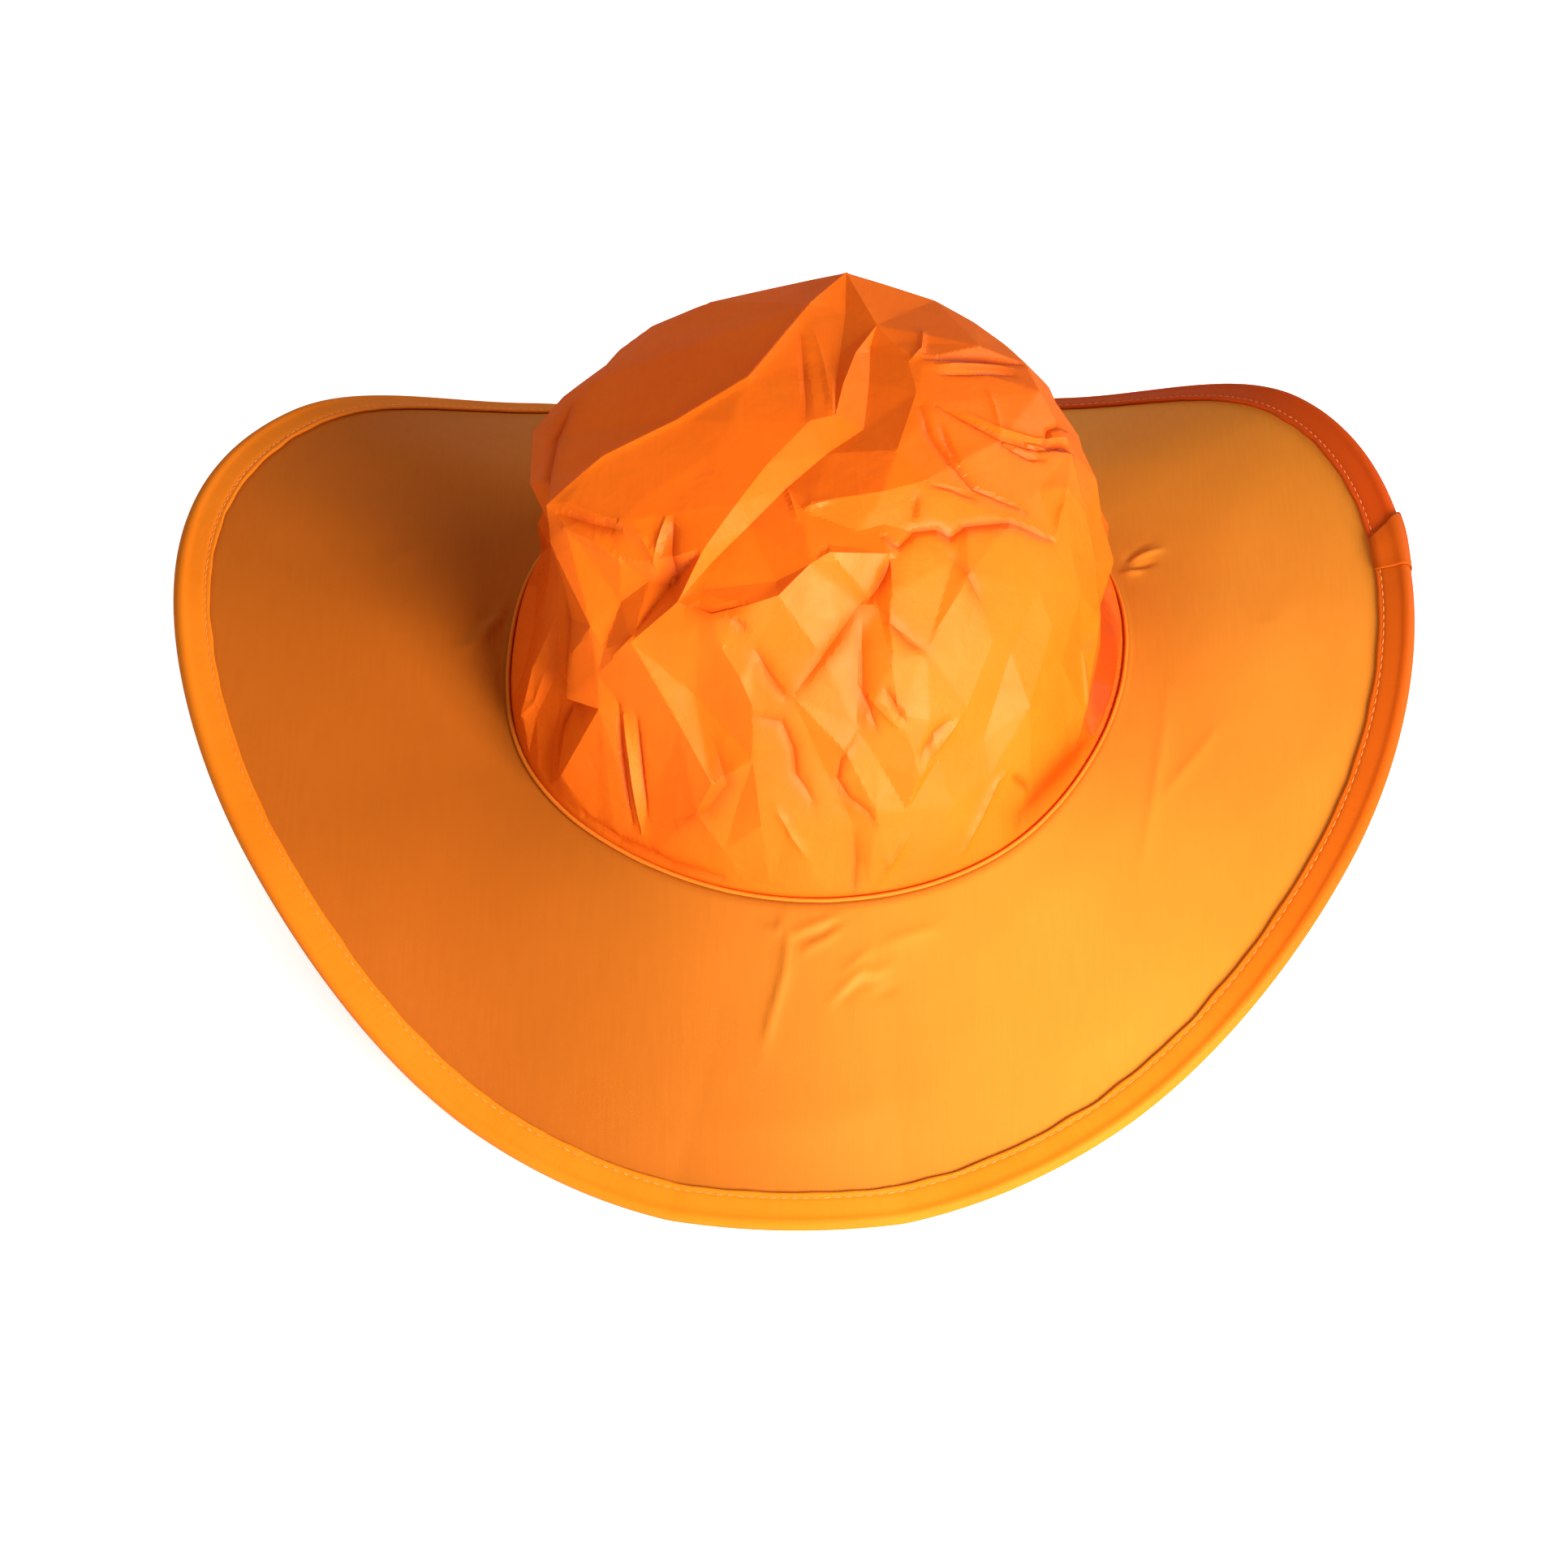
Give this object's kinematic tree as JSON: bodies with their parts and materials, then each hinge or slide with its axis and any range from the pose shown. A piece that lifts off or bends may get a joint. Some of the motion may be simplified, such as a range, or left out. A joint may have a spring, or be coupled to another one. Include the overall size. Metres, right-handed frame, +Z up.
{
  "type": "foldable sun hat",
  "caption": "Soft sun hat with a crumpled round crown and a wide saddle-bent brim whose taped edge holds a fold-up spring.",
  "frame": {"origin": "on the surface that the hat rests on, under the middle of the brim's box", "axes": "+Z up through the crown, -Y towards the front low side of the brim, +X to the right seen from the front"},
  "size_m": [0.3641, 0.3569, 0.16],
  "materials": {
    "crown_fabric": "semi-gloss woven",
    "brim_fabric": "semi-gloss woven",
    "binding_tape": "semi-gloss woven",
    "lap_tape": "semi-gloss woven",
    "seam_tape": "semi-gloss woven"
  },
  "bodies": {
    "root": {"crown": "crown_fabric", "brim": "brim_fabric", "edge_binding": "binding_tape", "binding_lap": "lap_tape", "crown_seam": "seam_tape"}
  },
  "joints": []
}
